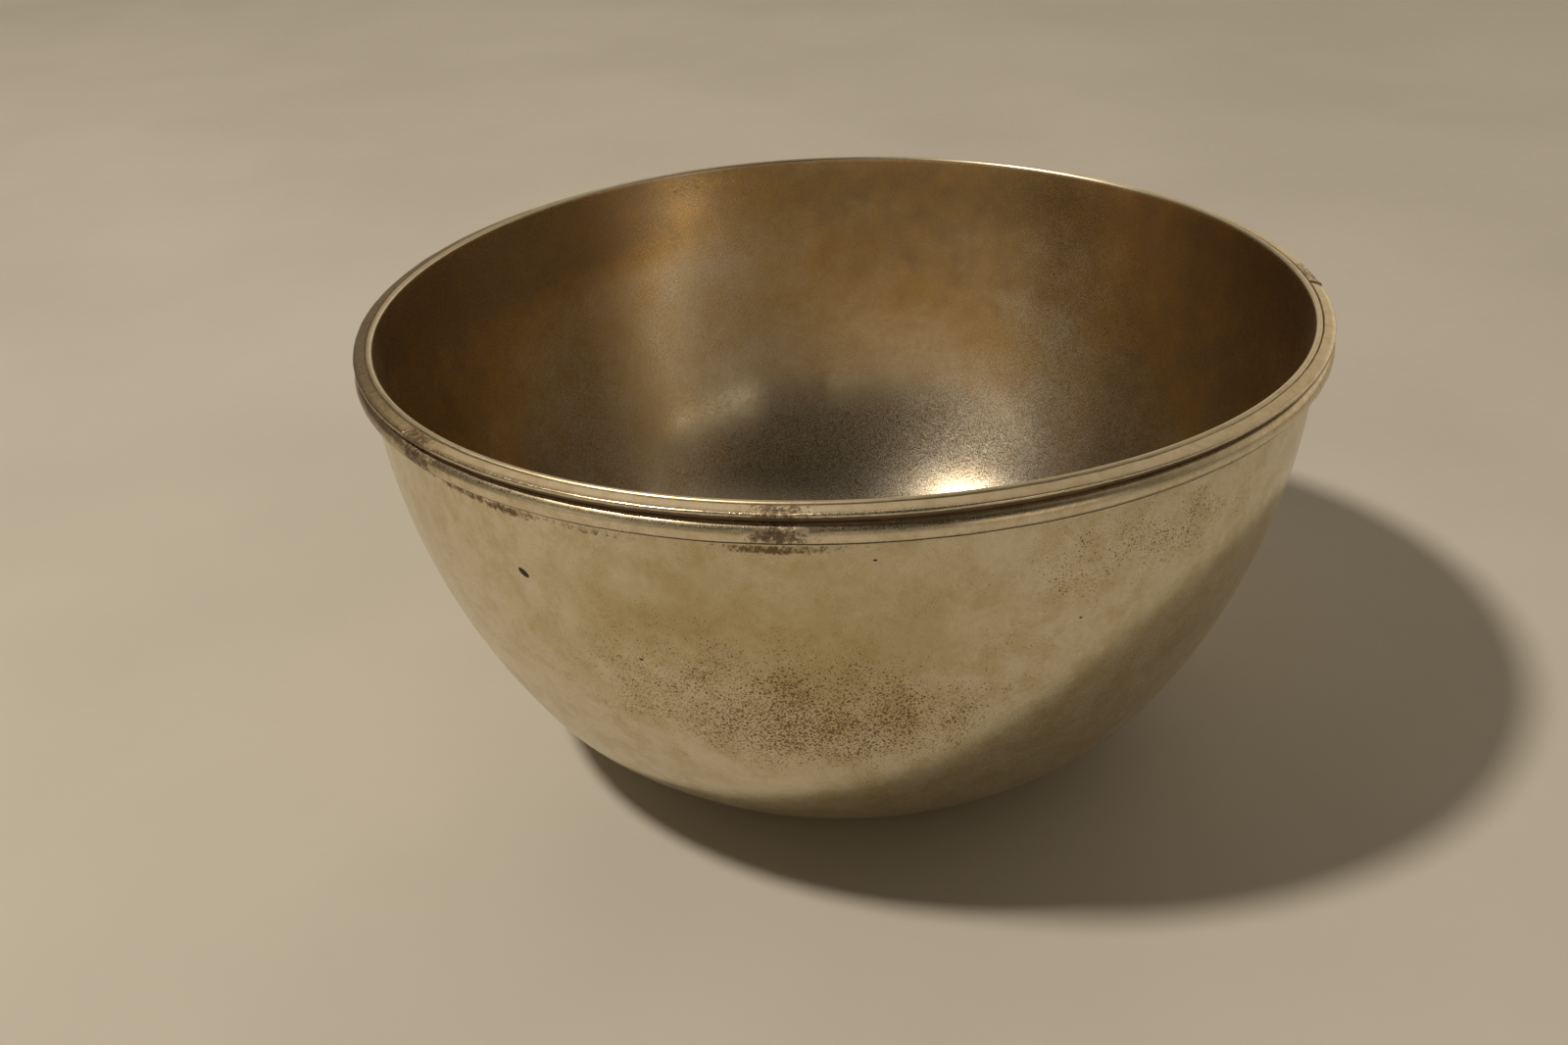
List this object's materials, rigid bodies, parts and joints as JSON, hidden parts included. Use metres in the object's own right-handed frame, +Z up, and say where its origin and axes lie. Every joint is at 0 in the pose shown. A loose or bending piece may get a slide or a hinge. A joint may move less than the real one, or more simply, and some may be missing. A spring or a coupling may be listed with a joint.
{
  "type": "shaving bowl",
  "caption": "Deep round shaving bowl spun from plated sheet metal, with a moulded wire rim soldered round its lip and a flat base.",
  "frame": {"origin": "middle of the flat base, at table level", "axes": "+Z up along the bowl's axis of turning, +X towards the soldered joint of the rim wires, -Y towards the viewer"},
  "size_m": [0.115, 0.115, 0.056],
  "materials": {
    "plated_sheet": "worn silver plate on spun brass, warm grey-yellow, dulled and speckled with tarnish",
    "plated_wire": "worn silver plate on drawn brass wire, brighter on the bead, brown in the cove",
    "solder": "dull dark soft solder, pitted and stained"
  },
  "bodies": {
    "root": {"bowl_shell": "plated_sheet", "cap_wire": "plated_wire", "bead_wire": "plated_wire", "rim_solder": "solder", "wire_joint": "solder"}
  },
  "joints": []
}
